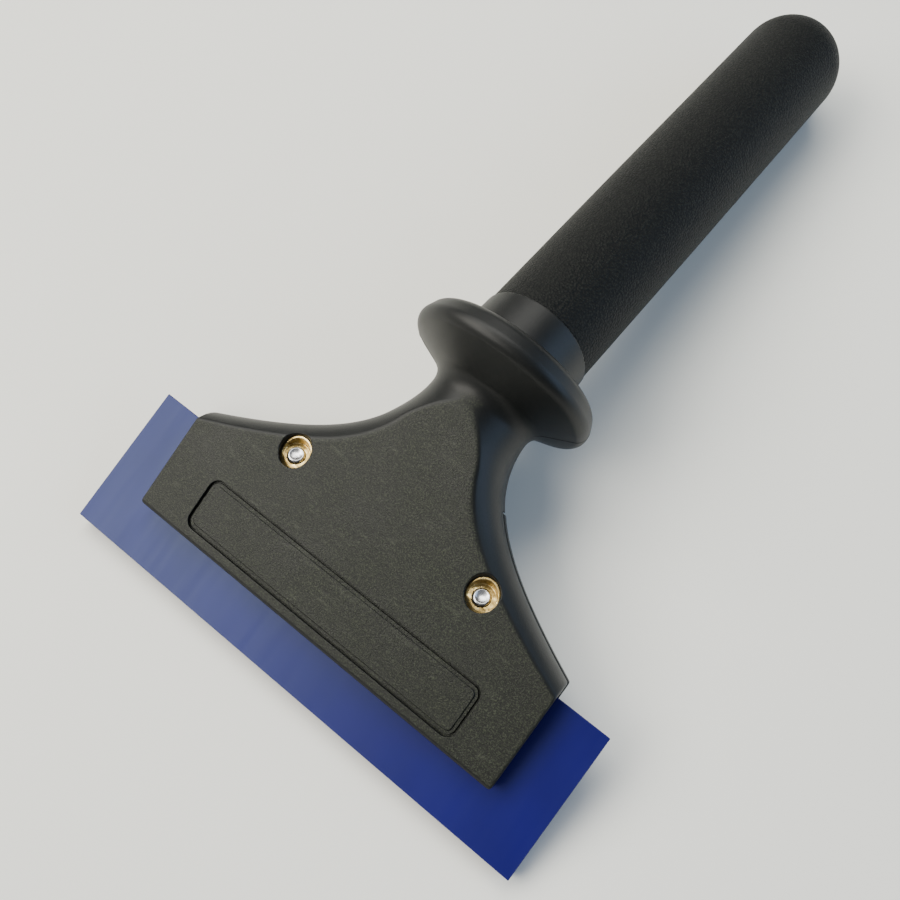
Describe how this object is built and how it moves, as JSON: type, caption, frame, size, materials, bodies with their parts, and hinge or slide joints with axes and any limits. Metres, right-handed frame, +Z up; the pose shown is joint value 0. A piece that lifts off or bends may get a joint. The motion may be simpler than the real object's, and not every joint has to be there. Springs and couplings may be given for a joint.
{
  "type": "squeegee applicator",
  "caption": "Clamp-handle squeegee applicator with a translucent blade, finger guard and angled round grip.",
  "frame": {"origin": "middle of the part's footprint on the surface it rests on, as a bounding box", "axes": "+X along the blade, +Y from the blade towards the grip's round end, +Z up from the surface; the face with the label recess is uppermost"},
  "size_m": [0.1524, 0.2714, 0.0603],
  "materials": {
    "nylon": "moulded, fine mottled texture, slight sheen",
    "blade_urethane": "translucent, glossy",
    "brass": "machined",
    "steel": "bright plated",
    "grip_rubber": "fine-grained, matte"
  },
  "bodies": {
    "handle": {"handle_body": "nylon", "insert_left": "brass", "insert_right": "brass", "grip_sleeve": "grip_rubber"},
    "plate": {"clamp_plate": "nylon", "washer_left": "steel", "washer_right": "steel"},
    "screw_left": {"screw_left": "steel"},
    "screw_right": {"screw_right": "steel"},
    "blade": {"squeegee_blade": "blade_urethane"}
  },
  "joints": [
    {"name": "clamp_open", "type": "slide", "parent": "handle", "child": "plate", "axis": [0, -0.1067, -0.9943], "range_m": [0, 0.002]},
    {"name": "screw_left_turn", "type": "hinge", "parent": "plate", "child": "screw_left", "pos_m": [-0.03125, -0.08938, 0.01689], "axis": [0, -0.1067, -0.9943], "range_deg": [0, 900.5]},
    {"name": "screw_right_turn", "type": "hinge", "parent": "plate", "child": "screw_right", "pos_m": [0.03125, -0.08938, 0.01689], "axis": [0, -0.1067, -0.9943], "range_deg": [0, 900.5]},
    {"name": "blade_slide", "type": "slide", "parent": "handle", "child": "blade", "axis": [0, -0.958, -0.2869], "range_m": [0, 0.035]}
  ],
  "couplings": [
    {"joint": "screw_left_turn", "follows": "clamp_open", "rad_per_m": 7854},
    {"joint": "screw_right_turn", "follows": "clamp_open", "rad_per_m": 7854}
  ]
}
